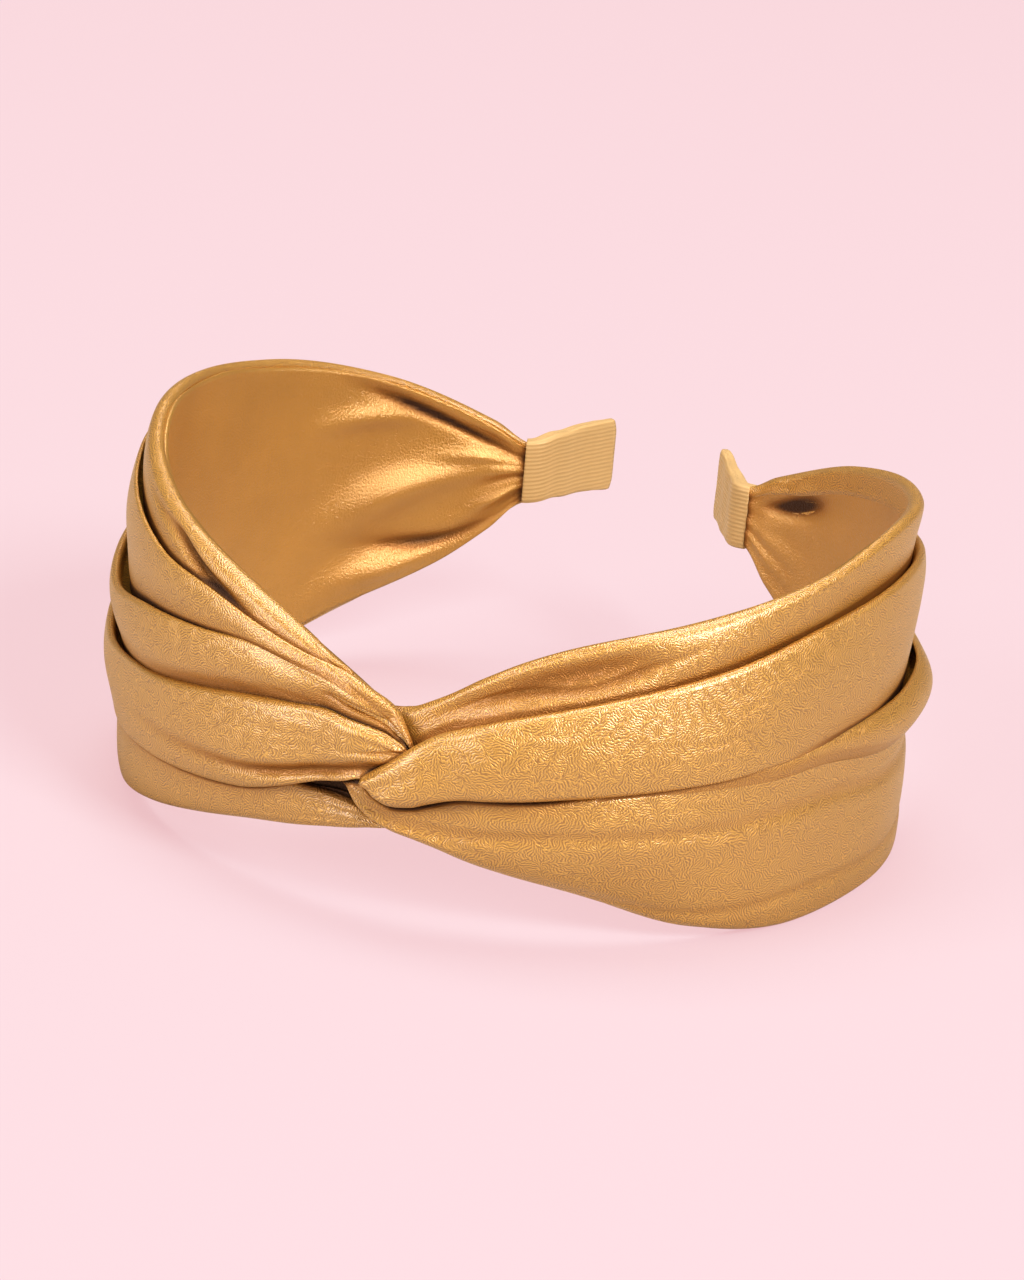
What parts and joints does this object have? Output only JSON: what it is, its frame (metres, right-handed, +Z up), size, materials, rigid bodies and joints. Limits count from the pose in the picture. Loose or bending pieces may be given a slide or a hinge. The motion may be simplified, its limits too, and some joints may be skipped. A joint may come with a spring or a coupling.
{
  "type": "twist knot headband",
  "caption": "Wide headband of pleated satin cloth crossing in a twist knot at the front, with a smooth lining and flared ribbon tips; worn over the head to hold hair back.",
  "frame": {"origin": "on the table, under the middle of the band's bounding box", "axes": "+Z up from the table it stands on, -Y towards the knot, +X towards the right half seen from the knot"},
  "size_m": [0.1418, 0.1402, 0.0622],
  "materials": {
    "pleated_cloth": "gold satin with a fine embossed crinkle",
    "lining_satin": "smooth bronze satin",
    "ribbon": "matt tan ribbon with fine lengthwise ribs"
  },
  "bodies": {
    "root": {"left_wrap": "pleated_cloth", "right_wrap": "pleated_cloth", "lining": "lining_satin", "left_tip": "ribbon", "right_tip": "ribbon"}
  },
  "joints": []
}
